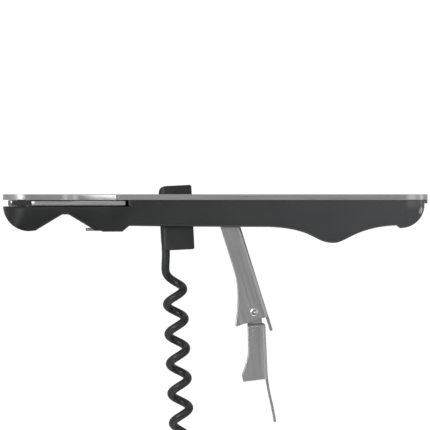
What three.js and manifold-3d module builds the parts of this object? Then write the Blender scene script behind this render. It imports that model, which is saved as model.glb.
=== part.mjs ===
// Push-pull corkscrew: a flat steel spine over a moulded handle in two halves, with a worm on a
// swinging carrier, a two-step bottle lever, a foil knife under the spine and a crown-cap opener.
// Millimetres. It lies on its far side: X runs from the knife end to the tail, Y from the levers
// up to the spine with zero on the line of the two axles, and Z from the far side to the near one.
import * as THREE from "three";
import { mergeVertices } from "three/addons/utils/BufferGeometryUtils.js";
import Module from "manifold-3d";

// Handle, seen from above
const handleLength = 140;
const handleWidth = 17;
const handleEndFlat = 1;

// Spine plate, and how far its underside stands above the axle line
const spineThickness = 1.85;
const spineEdgeRound = 0.14;
const axleToSpine = 4.12;
const scallopStart = 18.9;
const scallopGap = 3.45;
const scallopDepth = 2.6;
const scallopRun = 6.7;
const scallopRise = 1.1;
const scallopStep = 0.75;

// Casing ahead of the axles, as depths below the spine and reaches from the knife end
const casingWall = 1.9;
const casingEdgeRound = 0.9;
const casingDepth = 8.58;
const bellyDepth = 8.84;
const noseRadius = 8.75;
const noseDepth = 10.33;
const noseFlank = 10.5;
const noseFlankDepth = 10.1;
const notchStart = 18.95;
const notchTop = 19.95;
const notchTopEnd = 21.3;
const notchEnd = 22.2;
const notchDepth = 4.82;
const notchRound = 0.29;
const lumpStart = 30.4;
const lumpLand = 32.7;
const lumpEnd = 39.2;
const lumpFoot = 41.65;
const lumpDepth = 10.48;
const lumpLandDepth = 10.22;
const lumpStartDepth = 10.03;

// Casing behind the axles, as depths below the spine and reaches back from the tail end
const bumpDepth = 14.2;
const catchDepth = 8.41;
const beadDepth = 9.32;
const tailSetback = 1.06;
const tailBase = 2;
const tailLipDepth = 1.15;
const tailBlock = 5.8;

// Axles, washers and fits
const bridgeLength = 5.3085;
const axleSpread = 16.31;
const axleRadius = 1.25;
const axlePocketFloor = 0.8;
const washerThickness = 0.35;
const washerWidth = 1.1;
const runningPlay = 0.05;
const fixedPlay = 0.1;
const swingPlay = 0.4;

// Worm carrier, with its axle as zero
const bossHeight = 1.15;
const carrierNearFace = 5.65;
const carrierBack = 5.25;
const carrierTab = 8.85;
const carrierDrop = 12.4;
const carrierTabRound = 2.6;
const carrierFootRound = 3.3;
const carrierCorner = 0.4;
const carrierBackRound = 2.2;
const bossMargin = 1.3;
const armTilt = THREE.MathUtils.degToRad(2.85);

// Worm
const wormWire = 2.6;
const wormCoil = 5.66;
const wormPitch = 9.81;
const wormAxisOffset = 1.52;
const wormShankOffset = 3.82;
const wormSeat = 3.2;
const wormBend = 7.5;
const wormFirstTurn = 20.4;
const wormReach = 75.6;
const wormTaper = 7.2;
const wormPoint = 0.12;

// Lever sheet and upper lever, with its axle as zero
const sheet = 0.85;
const foldRound = 1.2;
const hubRadius = 2.5;
const upperWebOffset = 3.44;
const upperWebStart = 1.6;
const upperNeck = 4.1;
const upperWaist = 2.9;
const upperFlare = 19.7;
const upperToe = 8;
const upperReach = 37.05;
const upperFootArch = 0.2;
const upperToeRound = 0.45;
const stopTongue = 4.7;
const stopTongueSheet = 0.98;
const stopTongueWidth = 7.6;
const upperTilt = THREE.MathUtils.degToRad(17.4);

// Joint between the levers, and the lower lever with its rivet as zero
const rivetInset = 2.95;
const rivetOffset = 0.64;
const rivetRadius = 0.8;
const rivetHeadRadius = 1.4;
const rivetHeadHeight = 0.32;
const neckRadius = 2.4;
const lowerNeck = 3.85;
const lowerJoggle = 0.95;
const lowerWebOffset = 3.5;
const lowerWebChamfer = 0.6;
const lowerWaist = 2.35;
const lowerWaistFoot = 2.52;
const lowerFlare = 12.4;
const lowerToe = 5.05;
const lowerToeReach = 20.7;
const lowerReach = 22.9;
const lowerToeSlope = 0.42;
const lowerFootRise = 0.65;
const pullTongue = 36.6;
const pullTongueWidth = 7;
const pullTongueSheet = 0.86;
const pullTongueSweep = 2.05;
const lowerTilt = THREE.MathUtils.degToRad(2.7);

// Foil knife, with its pivot as zero
const knifeSlot = 2.11;
const knifeSlotLength = 41.5;
const knifeHeadInset = 1.74;
const knifeThickness = 1.6;
const knifeSideGap = 0.34;
const knifeBackStep = 0.36;
const knifeEdgeStep = 2.86;
const knifeTangHalf = 4.45;
const knifeTangFlat = 3.2;
const knifeTangStep = 0.3;
const knifeTangRound = 1.48;
const knifeShoulder = 1.15;
const knifeShoulderShare = 0.55;
const knifeGrindGap = 1.9;
const knifeTipGap = 0.7;
const knifeTipRound = 3.2;
const knifeBackRound = 0.8;
const knifeHollow = 1.6;
const knifeBevel = 1.4;
const knifeEdgeThickness = 0.15;
const knifeWasher = 0.2;
const knifeWasherInset = 0.16;
const postRadius = 1.5;
const postHeadRadius = 2.6;
const postNeck = 1.5;
const postFlange = 0.9;
const fenceStart = 8.6;

// Screws
const spineScrewRadius = 0.8;
const spineScrewHead = 1.5;
const spineScrewLength = 6.4;
const spineScrewSpread = 9.2;
const tailScrewSpread = 10.6;
const tailScrewReach = 4.1;
const crossScrewRadius = 1;
const crossScrewHead = 1.9;
const crossScrewLength = 13;
const noseScrewReach = 8.3;
const noseScrewDepth = 7.7;
const lumpScrewReach = 35.6;
const lumpScrewDepth = 6.6;
const driveRadius = 0.55;
const driveDepth = 0.5;

// Crown-cap opener tooth
const toothReach = 27.3;
const toothLength = 6.3;
const toothThickness = 1;
const toothWidth = 8;
const toothUpstand = 3.4;
const toothPoints = 6;
const toothPointDepth = 0.45;

// How finely round shapes are cut, and how far a cut runs past what it cuts
const fine = 32;
const coarse = 18;
const curveSteps = 8;
const casingSteps = 14;
const rimSteps = 3;
const overrun = 1;
const mergeGap = 0.0001;

const midPlane = handleWidth / 2;
const kneeEnd = -handleLength / 2;
const tailEnd = handleLength / 2;
const spineTop = axleToSpine + spineThickness;
const ledge = axleToSpine - knifeSlot;
const channelHalf = midPlane - casingWall;
const leverHalf = channelHalf - washerThickness - 2 * runningPlay;
const channelEnd = tailEnd - tailBlock;
const handleEndRadius = (handleWidth - handleEndFlat) / 2;
const carrierHalf = channelHalf - bossHeight - washerThickness - 2 * runningPlay;
const scallopEnd = knifeSlotLength - scallopGap;
const knifeSlotEnd = kneeEnd + knifeSlotLength;
const tabSwing = Math.hypot(carrierTab, carrierBack - carrierTabRound / 2);
const channelStart = knifeSlotEnd + bridgeLength;
const carrierAxleX = channelStart + tabSwing + swingPlay;
const leverAxleX = carrierAxleX + axleSpread;
const carrierSwing = Math.hypot(carrierDrop, carrierNearFace);
const slotEnd = carrierAxleX + carrierSwing + swingPlay;
const knifeReach = midPlane - casingWall - knifeSideGap;
const knifePivot = knifeTangHalf + knifeHeadInset;
const knifeX = kneeEnd + knifePivot;
const knifeWasherRadius = knifeTangHalf - knifeWasherInset;
const knifeBack = knifeReach - knifeBackStep;
const knifeEdge = knifeReach - knifeEdgeStep;
const knifeRoot = knifeTangFlat + knifeShoulder;
const knifeTangNear = knifeBack - knifeTangStep;
const knifeLength = knifeSlotLength - knifePivot - knifeTipGap;
const knifePlay = (knifeSlot - knifeThickness - 2 * knifeWasher) / 4;
const bearingRadius = axleRadius + runningPlay;
const rivetReach = upperReach - rivetInset;

const wasm = await Module();
wasm.setup();

// Solids: geometry in, joined or cut, and geometry out
function solidOf(geometry) {
  const bare = geometry.index ? geometry.toNonIndexed() : geometry;
  bare.deleteAttribute("normal");
  bare.deleteAttribute("uv");
  const merged = mergeVertices(bare, mergeGap);
  return new wasm.Manifold(
    new wasm.Mesh({
      numProp: 3,
      vertProperties: merged.attributes.position.array,
      triVerts: new Uint32Array(merged.index.array),
    }),
  );
}

function geometryOf(solid) {
  const mesh = solid.getMesh();
  const geometry = new THREE.BufferGeometry();
  geometry.setAttribute("position", new THREE.BufferAttribute(mesh.vertProperties, 3));
  geometry.setIndex(new THREE.BufferAttribute(mesh.triVerts, 1));
  const faceted = geometry.toNonIndexed();
  faceted.computeVertexNormals();
  return faceted;
}

function joined(first, ...others) {
  return others.reduce((whole, other) => whole.add(other), first);
}

function cut(body, ...tools) {
  return tools.reduce((whole, tool) => whole.subtract(tool), body);
}

// A block between two corners
function block(x0, x1, y0, y1, z0, z1) {
  const geometry = new THREE.BoxGeometry(x1 - x0, y1 - y0, z1 - z0);
  geometry.translate((x0 + x1) / 2, (y0 + y1) / 2, (z0 + z1) / 2);
  return solidOf(geometry);
}

// An outline in X and Y, run from one Z to another
function upright(outline, z0, z1) {
  const geometry = new THREE.ExtrudeGeometry(outline, {
    depth: z1 - z0,
    bevelEnabled: false,
    curveSegments: curveSteps,
  });
  geometry.translate(0, 0, z0);
  return solidOf(geometry);
}

// An outline in X and Y, run the whole way with its two rims rounded
function roundedUpright(outline, z0, z1, round) {
  const geometry = new THREE.ExtrudeGeometry(outline, {
    depth: z1 - z0 - 2 * round,
    bevelThickness: round,
    bevelSize: round,
    bevelOffset: -round,
    bevelSegments: rimSteps,
    curveSegments: casingSteps,
  });
  geometry.translate(0, 0, z0 + round);
  return solidOf(geometry);
}

// An outline drawn in X and Z, run from one height to another, with its rims rounded if asked
function flat(outline, y0, y1, round = 0) {
  const geometry = new THREE.ExtrudeGeometry(outline, {
    depth: y1 - y0 - 2 * round,
    bevelEnabled: round > 0,
    bevelThickness: round,
    bevelSize: round,
    bevelOffset: -round,
    bevelSegments: rimSteps,
    curveSegments: curveSteps,
  });
  geometry.rotateX(Math.PI / 2);
  geometry.translate(0, y1 - round, 0);
  return solidOf(geometry);
}

// Round bars along Z and along Y
function barZ(x, y, radius, z0, z1, sides = coarse) {
  const geometry = new THREE.CylinderGeometry(radius, radius, z1 - z0, sides);
  geometry.rotateX(Math.PI / 2);
  geometry.translate(x, y, (z0 + z1) / 2);
  return solidOf(geometry);
}

function barY(x, z, radius, y0, y1, sides = coarse) {
  const geometry = new THREE.CylinderGeometry(radius, radius, y1 - y0, sides);
  geometry.translate(x, (y0 + y1) / 2, z);
  return solidOf(geometry);
}

// A turned piece about Y from pairs of radius and height, listed from the bottom up
function turned(profile, sides = coarse) {
  const points = profile.map(([radius, height]) => new THREE.Vector2(radius, height));
  return solidOf(new THREE.LatheGeometry(points, sides));
}

function washer(x, y, inner, outer, z0, z1) {
  const ring = barZ(x, y, outer, z0, z1);
  return cut(ring, barZ(x, y, inner, z0 - overrun, z1 + overrun));
}

// A countersunk screw about Y with its flat top at zero, and the hole that takes it
function screw(radius, headRadius, length) {
  const sink = headRadius - radius;
  const body = turned([
    [0, -length],
    [radius * pointShare, -length],
    [radius, -length + radius],
    [radius, -sink],
    [headRadius, 0],
    [0, 0],
  ]);
  const drive = new THREE.CylinderGeometry(driveRadius, driveRadius, 2 * driveDepth, 6);
  return cut(body, solidOf(drive));
}

function screwHole(radius, headRadius, length) {
  const sink = headRadius - radius;
  return turned([
    [0, -length - fixedPlay],
    [radius + fixedPlay, -length - fixedPlay],
    [radius + fixedPlay, -sink],
    [headRadius + fixedPlay, 0],
    [headRadius + fixedPlay, overrun],
    [0, overrun],
  ]);
}

const pointShare = 0.4;

// Rounded oblong in the plane of the outline, from corner to corner
function oblong(x0, x1, y0, y1, radius) {
  const outline = new THREE.Shape();
  outline.moveTo(x0 + radius, y0);
  outline.lineTo(x1 - radius, y0);
  outline.absarc(x1 - radius, y0 + radius, radius, -Math.PI / 2, 0);
  outline.lineTo(x1, y1 - radius);
  outline.absarc(x1 - radius, y1 - radius, radius, 0, Math.PI / 2);
  outline.lineTo(x0 + radius, y1);
  outline.absarc(x0 + radius, y1 - radius, radius, Math.PI / 2, Math.PI);
  outline.lineTo(x0, y0 + radius);
  outline.absarc(x0 + radius, y0 + radius, radius, Math.PI, 1.5 * Math.PI);
  return outline;
}

// Casing: its side outline, cut by its outline from above, then hollowed and parted in two
const below = (depth) => axleToSpine - depth;
const fromKnifeEnd = (reach) => kneeEnd + reach;
const fromTail = (reach) => tailEnd - reach;

const rearShares = { bumpStart: 0.7223, bumpLow: 0.4004, bumpEnd: 0.13195, bead: 0.11724 };
const bumpSlopeShares = [0.773, 0.283];
const catchSlopeShares = [0.197, 0.352];
const catchSettleShare = 0.083;
const tailCurveShares = [0.45, 0.544, 0.054];

function casingOutline() {
  const outline = new THREE.Shape();
  const noseX = fromKnifeEnd(noseRadius);
  const noseY = below(noseDepth) + noseRadius;
  const top = axleToSpine + 2 * casingEdgeRound;
  const bottom = below(bellyDepth);
  outline.moveTo(kneeEnd, top);
  outline.lineTo(kneeEnd, noseY);
  outline.absarc(noseX, noseY, noseRadius, Math.PI, 1.5 * Math.PI);
  outline.lineTo(fromKnifeEnd(noseFlank), below(noseFlankDepth));
  outline.lineTo(fromKnifeEnd(notchStart), below(notchDepth + notchRound));
  outline.quadraticCurveTo(
    fromKnifeEnd((notchStart + notchTop) / 2),
    below(notchDepth),
    fromKnifeEnd(notchTop),
    below(notchDepth),
  );
  outline.lineTo(fromKnifeEnd(notchTopEnd), below(notchDepth));
  outline.quadraticCurveTo(
    fromKnifeEnd((notchTopEnd + notchEnd) / 2),
    below(notchDepth),
    fromKnifeEnd(notchEnd),
    below(notchDepth + notchRound),
  );
  outline.lineTo(fromKnifeEnd(lumpStart), below(lumpStartDepth));
  outline.lineTo(fromKnifeEnd(lumpLand), below(lumpLandDepth));
  outline.lineTo(fromKnifeEnd(lumpLand), below(lumpDepth));
  outline.lineTo(fromKnifeEnd(lumpEnd), below(lumpDepth));
  outline.lineTo(fromKnifeEnd(lumpFoot), below(casingDepth));
  const bellyX = carrierAxleX + carrierNearFace;
  const rear = tailEnd - bellyX;
  const bumpStart = rear * rearShares.bumpStart;
  const bumpLow = rear * rearShares.bumpLow;
  const bumpEnd = rear * rearShares.bumpEnd;
  const beadStart = rear * rearShares.bead;
  outline.lineTo(bellyX, bottom);
  outline.lineTo(fromTail(bumpStart), bottom);
  const rise = bumpStart - bumpLow;
  const fall = bumpLow - bumpEnd;
  outline.bezierCurveTo(
    fromTail(bumpStart - rise * bumpSlopeShares[0]),
    bottom,
    fromTail(bumpLow + rise * bumpSlopeShares[1]),
    below(bumpDepth),
    fromTail(bumpLow),
    below(bumpDepth),
  );
  outline.bezierCurveTo(
    fromTail(bumpLow - fall * catchSlopeShares[0]),
    below(bumpDepth),
    fromTail(bumpLow - fall * catchSlopeShares[1]),
    below(catchDepth + (bumpDepth - catchDepth) * catchSettleShare),
    fromTail(bumpEnd),
    below(catchDepth),
  );
  outline.lineTo(fromTail(beadStart), below(beadDepth));
  const tailX = fromTail(tailSetback);
  const tailReach = beadStart - tailSetback;
  const tailDrop = beadDepth - tailBase;
  outline.bezierCurveTo(
    tailX - tailReach * tailCurveShares[0],
    below(beadDepth),
    tailX - tailReach * tailCurveShares[1] * tailCurveShares[2],
    below(tailBase + tailDrop * tailCurveShares[1]),
    tailX,
    below(tailBase),
  );
  outline.lineTo(tailX, below(tailLipDepth));
  outline.lineTo(tailEnd, below(tailLipDepth));
  outline.lineTo(tailEnd, top);
  return outline;
}

function handlePlan() {
  return oblong(kneeEnd, tailEnd, 0, handleWidth, handleEndRadius);
}

// The hollow for a washered axle: blind in both side walls
function axlePocket(x) {
  const radius = axleRadius + fixedPlay;
  return barZ(x, 0, radius, axlePocketFloor, handleWidth - axlePocketFloor, fine);
}

function carrierBosses() {
  const radius = axleRadius + bossMargin;
  const farWall = midPlane - channelHalf;
  const nearWall = midPlane + channelHalf;
  return [
    barZ(carrierAxleX, 0, radius, farWall - casingWall / 2, farWall + bossHeight, fine),
    barZ(carrierAxleX, 0, radius, nearWall - bossHeight, nearWall + casingWall / 2, fine),
  ];
}

// Where each spine screw stands, and each cross screw
const bridgeX = (knifeSlotEnd + channelStart) / 2;
const tailScrewX = fromTail(tailScrewReach);
const spineScrewPlaces = {
  bridge_screw_near: [bridgeX, midPlane + spineScrewSpread / 2],
  bridge_screw_far: [bridgeX, midPlane - spineScrewSpread / 2],
  tail_screw_near: [tailScrewX, midPlane + tailScrewSpread / 2],
  tail_screw_far: [tailScrewX, midPlane - tailScrewSpread / 2],
};
const crossScrewPlaces = {
  nose_screw: [fromKnifeEnd(noseScrewReach), below(noseScrewDepth)],
  lump_screw: [fromKnifeEnd(lumpScrewReach), below(lumpScrewDepth)],
};

// A solid about Y turned so that its top faces the far side
function facingFar(solid, x, y) {
  return solid.rotate([-90, 0, 0]).translate([x, y, 0]);
}

function tongueSlot() {
  const half = pullTongueWidth / 2 + swingPlay;
  const top = axleToSpine - tailLipDepth - swingPlay;
  return block(
    channelEnd - overrun,
    tailEnd + overrun,
    below(bumpDepth) - overrun,
    top,
    midPlane - half,
    midPlane + half,
  );
}

const toothTip = fromKnifeEnd(toothReach);
const toothTop = below(lumpLandDepth) + toothThickness;

function toothPocket() {
  const half = toothWidth / 2 + fixedPlay;
  const back = toothTip + toothLength;
  const seat = block(
    toothTip,
    back + fixedPlay,
    below(lumpDepth) - overrun,
    toothTop + fixedPlay,
    midPlane - half,
    midPlane + half,
  );
  const socket = block(
    back - toothThickness - fixedPlay,
    back + fixedPlay,
    toothTop,
    below(lumpLandDepth) + toothUpstand + fixedPlay,
    midPlane - half,
    midPlane + half,
  );
  return joined(seat, socket);
}

function postPocket() {
  const neck = barY(knifeX, midPlane, postRadius + fixedPlay, ledge - postNeck, spineTop, fine);
  const flange = barY(
    knifeX,
    midPlane,
    postHeadRadius + fixedPlay,
    ledge - postNeck - postFlange - fixedPlay,
    ledge - postNeck + fixedPlay,
    fine,
  );
  return joined(neck, flange);
}

function casingWhole() {
  let body = roundedUpright(casingOutline(), 0, handleWidth, casingEdgeRound);
  body = body.intersect(flat(handlePlan(), below(bumpDepth) - overrun, axleToSpine));
  const channel = oblong(
    channelStart,
    channelEnd,
    midPlane - channelHalf,
    midPlane + channelHalf,
    casingWall / 2,
  );
  body = cut(body, flat(channel, below(bumpDepth) - overrun, axleToSpine + overrun));
  body = joined(body, ...carrierBosses());
  const openNose = block(
    kneeEnd - overrun,
    fromKnifeEnd(fenceStart),
    ledge,
    axleToSpine + overrun,
    -overrun,
    handleWidth + overrun,
  );
  const slot = block(
    fromKnifeEnd(fenceStart) - overrun,
    knifeSlotEnd,
    ledge,
    axleToSpine + overrun,
    casingWall,
    handleWidth + overrun,
  );
  body = cut(body, openNose, slot, postPocket(), toothPocket(), tongueSlot());
  body = cut(body, axlePocket(carrierAxleX), axlePocket(leverAxleX));
  const spineHole = screwHole(spineScrewRadius, spineScrewHead, spineScrewLength);
  const crossHole = screwHole(crossScrewRadius, crossScrewHead, crossScrewLength);
  for (const [x, z] of Object.values(spineScrewPlaces))
    body = cut(body, spineHole.translate([x, spineTop, z]));
  for (const [x, y] of Object.values(crossScrewPlaces))
    body = cut(body, facingFar(crossHole, x, y));
  return body;
}

function casingHalf(z0, z1) {
  const reach = handleLength / 2 + overrun;
  const room = block(-reach, reach, below(bumpDepth) - overrun, axleToSpine + overrun, z0, z1);
  return casingWhole().intersect(room);
}

// Spine: a plate with a slot for the carrier and a thumb scallop in its near edge
function scallop() {
  const outline = new THREE.Shape();
  const edge = handleWidth + overrun;
  const floor = handleWidth - scallopDepth;
  const start = fromKnifeEnd(scallopStart);
  const low = start + scallopRun;
  const end = fromKnifeEnd(scallopEnd - scallopStep);
  const middle = (start + low) / 2;
  outline.moveTo(start, edge);
  outline.lineTo(start, handleWidth);
  outline.bezierCurveTo(middle, handleWidth, middle, floor, low, floor);
  outline.quadraticCurveTo(low + (end - low) / 3, floor, end, floor + scallopRise);
  outline.lineTo(fromKnifeEnd(scallopEnd), handleWidth);
  outline.lineTo(fromKnifeEnd(scallopEnd), edge);
  return flat(outline, axleToSpine - overrun, spineTop + overrun);
}

function spinePlate() {
  const plate = flat(handlePlan(), axleToSpine, spineTop, spineEdgeRound);
  const half = carrierHalf + swingPlay;
  const slot = oblong(channelStart, slotEnd, midPlane - half, midPlane + half, casingWall / 2);
  const low = axleToSpine - overrun;
  const high = spineTop + overrun;
  let body = cut(plate, flat(slot, low, high), scallop());
  const sink = postHeadRadius - postRadius;
  const postHole = turned([
    [0, -overrun - spineThickness],
    [postRadius + fixedPlay, -overrun - spineThickness],
    [postRadius + fixedPlay, -sink],
    [postHeadRadius + fixedPlay, 0],
    [postHeadRadius + fixedPlay, overrun],
    [0, overrun],
  ]);
  body = cut(body, postHole.translate([knifeX, spineTop, midPlane]));
  const hole = screwHole(spineScrewRadius, spineScrewHead, spineScrewLength);
  for (const [x, z] of Object.values(spineScrewPlaces))
    body = cut(body, hole.translate([x, spineTop, z]));
  return body;
}

// Knife post: riveted flush in the spine, its flange caught between the casing halves
function knifePost() {
  const sink = postHeadRadius - postRadius;
  const bottom = -(spineThickness + knifeSlot + postNeck + postFlange);
  return turned(
    [
      [0, bottom],
      [postHeadRadius, bottom],
      [postHeadRadius, bottom + postFlange],
      [postRadius, bottom + postFlange],
      [postRadius, -sink],
      [postHeadRadius, 0],
      [0, 0],
    ],
    fine,
  ).translate([knifeX, spineTop, midPlane]);
}

function knifeRing(y0, y1) {
  const ring = barY(knifeX, midPlane, knifeWasherRadius, y0, y1, fine);
  const bore = barY(knifeX, midPlane, postRadius + fixedPlay, y0 - overrun, y1 + overrun);
  return cut(ring, bore);
}

// Foil knife, drawn in X and Z about its pivot, with its cutting edge towards the far side
const knifeHollowShare = 0.45;

function knifeOutline() {
  const outline = new THREE.Shape();
  const corner = knifeTangHalf - knifeTangRound;
  const leave = knifeTangFlat + knifeShoulder * knifeShoulderShare;
  const meet = knifeRoot - knifeShoulder * knifeShoulderShare;
  outline.moveTo(knifeRoot, knifeBack);
  outline.bezierCurveTo(meet, knifeBack, leave, knifeTangNear, knifeTangFlat, knifeTangNear);
  outline.absarc(-corner, knifeTangNear - knifeTangRound, knifeTangRound, Math.PI / 2, Math.PI);
  outline.absarc(-corner, -corner, knifeTangRound, Math.PI, 1.5 * Math.PI);
  outline.lineTo(knifeTangFlat, -knifeTangHalf);
  outline.bezierCurveTo(leave, -knifeTangHalf, meet, -knifeEdge, knifeRoot, -knifeEdge);
  outline.bezierCurveTo(
    knifeRoot + (knifeLength - knifeRoot) * knifeHollowShare,
    -knifeEdge + knifeHollow,
    knifeLength - knifeTipRound,
    -knifeEdge,
    knifeLength,
    knifeBack - knifeTipRound,
  );
  outline.lineTo(knifeLength, knifeBack - knifeBackRound);
  outline.quadraticCurveTo(knifeLength, knifeBack, knifeLength - knifeBackRound, knifeBack);
  return outline;
}

function foilKnife() {
  const low = -knifeThickness / 2;
  let blade = flat(knifeOutline(), low, -low);
  blade = cut(blade, barY(0, 0, postRadius + runningPlay, low - overrun, -low + overrun, fine));
  const grind = new THREE.Shape();
  const foot = knifeEdgeThickness / 2;
  grind.moveTo(-knifeEdge - knifeBevel, foot);
  grind.lineTo(-knifeEdge, foot);
  grind.lineTo(-knifeEdge + knifeBevel, -low);
  grind.lineTo(-knifeEdge - knifeBevel, -low);
  const wedge = new THREE.ExtrudeGeometry(grind, {
    depth: knifeLength - knifeRoot - knifeGrindGap + overrun,
    bevelEnabled: false,
  });
  wedge.rotateZ(Math.PI / 2);
  wedge.rotateY(Math.PI / 2);
  wedge.translate(knifeRoot + knifeGrindGap, 0, 0);
  const top = solidOf(wedge);
  return cut(blade, top, top.mirror([0, 1, 0]));
}

// Opener tooth: a steel angle let into the split between the halves, its lip cut into points
function openerTooth() {
  const half = toothWidth / 2;
  const back = toothTip + toothLength;
  const step = toothWidth / toothPoints;
  const outline = new THREE.Shape();
  outline.moveTo(back, midPlane - half);
  outline.lineTo(back, midPlane + half);
  for (let i = 0; i < toothPoints; i += 1) {
    outline.lineTo(toothTip + toothPointDepth, midPlane + half - i * step);
    outline.lineTo(toothTip, midPlane + half - (i + 1 / 2) * step);
  }
  outline.lineTo(toothTip + toothPointDepth, midPlane - half);
  const lip = flat(outline, below(lumpLandDepth), toothTop);
  const upstand = block(
    back - toothThickness,
    back,
    below(lumpLandDepth),
    below(lumpLandDepth) + toothUpstand,
    midPlane - half,
    midPlane + half,
  );
  return joined(lip, upstand);
}

// Worm carrier, about its axle with the worm downwards
function carrierSide() {
  const outline = new THREE.Shape();
  outline.moveTo(-carrierBack, -carrierDrop + carrierFootRound);
  outline.quadraticCurveTo(
    -carrierBack,
    -carrierDrop,
    -carrierBack + carrierFootRound,
    -carrierDrop,
  );
  outline.lineTo(carrierNearFace - carrierCorner, -carrierDrop);
  outline.lineTo(carrierNearFace, -carrierDrop + carrierCorner);
  outline.lineTo(carrierNearFace, carrierTab - carrierCorner);
  outline.lineTo(carrierNearFace - carrierCorner, carrierTab);
  outline.lineTo(-carrierBack + carrierTabRound, carrierTab);
  outline.quadraticCurveTo(-carrierBack, carrierTab, -carrierBack, carrierTab - carrierTabRound);
  return outline;
}

function carrierPlan() {
  const half = carrierHalf;
  const outline = new THREE.Shape();
  outline.moveTo(-carrierBack + carrierBackRound, -half);
  outline.lineTo(carrierNearFace - carrierCorner, -half);
  outline.lineTo(carrierNearFace, -half + carrierCorner);
  outline.lineTo(carrierNearFace, half - carrierCorner);
  outline.lineTo(carrierNearFace - carrierCorner, half);
  outline.lineTo(-carrierBack + carrierBackRound, half);
  outline.quadraticCurveTo(-carrierBack, half, -carrierBack, half - carrierBackRound);
  outline.lineTo(-carrierBack, -half + carrierBackRound);
  outline.quadraticCurveTo(-carrierBack, -half, -carrierBack + carrierBackRound, -half);
  return outline;
}

function wormCarrier() {
  const half = carrierHalf;
  const side = upright(carrierSide(), -half, half);
  const body = side.intersect(flat(carrierPlan(), -carrierDrop - overrun, carrierTab + overrun));
  const seatRadius = wormWire / 2 + fixedPlay;
  const seat = barY(-wormShankOffset, 0, seatRadius, -carrierDrop - overrun, -wormSeat);
  const bore = barZ(0, 0, bearingRadius, -half - overrun, half + overrun, fine);
  return cut(body, seat, bore);
}

// Worm: a straight shank that bends into a right-handed coil and ends in a point
class WormPath extends THREE.Curve {
  getPoint(share, target = new THREE.Vector3()) {
    const top = wormSeat + fixedPlay;
    const drop = top + share * (wormReach - top);
    const bendStart = wormFirstTurn - wormBend / 2;
    const turning = THREE.MathUtils.clamp(drop - bendStart, 0, wormBend);
    const along = turning ** 2 / (2 * wormBend) + Math.max(drop - bendStart - wormBend, 0);
    const angle = Math.PI + (2 * Math.PI * along) / wormPitch;
    const inset = wormShankOffset - wormAxisOffset;
    const leave = THREE.MathUtils.smoothstep(drop, carrierDrop, wormFirstTurn);
    const radius = inset + (wormCoil / 2 - inset) * leave;
    return target.set(
      -wormAxisOffset + radius * Math.cos(angle),
      -drop,
      radius * Math.sin(angle),
    );
  }
}

const wormSteps = 152;
const wormSides = 8;

function worm() {
  const path = new WormPath();
  const frames = path.computeFrenetFrames(wormSteps);
  const positions = [];
  const faces = [];
  for (let i = 0; i <= wormSteps; i += 1) {
    const centre = path.getPointAt(i / wormSteps);
    const left = wormReach + centre.y;
    const thin = THREE.MathUtils.clamp(left / wormTaper, 0, 1);
    const radius = wormPoint + (wormWire / 2 - wormPoint) * Math.sin((thin * Math.PI) / 2);
    for (let k = 0; k < wormSides; k += 1) {
      const angle = (2 * Math.PI * k) / wormSides;
      const out = frames.normals[i]
        .clone()
        .multiplyScalar(Math.cos(angle))
        .addScaledVector(frames.binormals[i], Math.sin(angle));
      positions.push(...centre.clone().addScaledVector(out, radius).toArray());
    }
  }
  const ring = (i, k) => i * wormSides + (k % wormSides);
  for (let i = 0; i < wormSteps; i += 1)
    for (let k = 0; k < wormSides; k += 1) {
      faces.push(ring(i, k), ring(i + 1, k + 1), ring(i + 1, k));
      faces.push(ring(i, k), ring(i, k + 1), ring(i + 1, k + 1));
    }
  for (let k = 1; k < wormSides - 1; k += 1) {
    faces.push(ring(0, 0), ring(0, k + 1), ring(0, k));
    faces.push(ring(wormSteps, 0), ring(wormSteps, k), ring(wormSteps, k + 1));
  }
  const geometry = new THREE.BufferGeometry();
  geometry.setAttribute("position", new THREE.Float32BufferAttribute(positions, 3));
  geometry.setIndex(faces);
  geometry.computeVertexNormals();
  return geometry;
}

// Levers: channels of folded sheet, open towards the worm, with the web on the outside
const flareShares = [0.29, 0.68, 0.48];
const lowerFlareShare = 0.28;

function upperOutline() {
  const outline = new THREE.Shape();
  outline.moveTo(upperWebOffset, -upperWebStart);
  outline.quadraticCurveTo(upperWebOffset, 0, hubRadius * Math.SQRT1_2, hubRadius * Math.SQRT1_2);
  outline.absarc(0, 0, hubRadius, Math.PI / 4, Math.PI);
  outline.lineTo(-upperWaist, -upperNeck);
  outline.lineTo(-upperWaist, -upperFlare);
  const run = upperReach - upperFlare;
  const spread = upperToe - upperWaist;
  outline.bezierCurveTo(
    -upperWaist,
    -upperFlare - run * flareShares[0],
    -upperWaist - spread * flareShares[2],
    -upperFlare - run * flareShares[1],
    -upperToe,
    -upperReach + upperToeRound,
  );
  outline.lineTo(-upperToe + upperToeRound, -upperReach);
  const middle = -upperWaist;
  outline.quadraticCurveTo(
    (middle - upperToe + upperToeRound) / 2,
    -upperReach + upperFootArch,
    middle,
    -upperReach,
  );
  outline.quadraticCurveTo(
    (middle + upperWebOffset) / 2,
    -upperReach + upperFootArch,
    upperWebOffset,
    -upperReach,
  );
  return outline;
}

// A channel seen along its length, closed by its web, with the two folds rounded
function channelPlan(back, web) {
  const outline = new THREE.Shape();
  const foldX = web - foldRound;
  const foldZ = leverHalf - foldRound;
  outline.moveTo(back, -leverHalf);
  outline.lineTo(foldX, -leverHalf);
  outline.absarc(foldX, -foldZ, foldRound, -Math.PI / 2, 0);
  outline.absarc(foldX, foldZ, foldRound, 0, Math.PI / 2);
  outline.lineTo(back, leverHalf);
  return outline;
}

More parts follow.
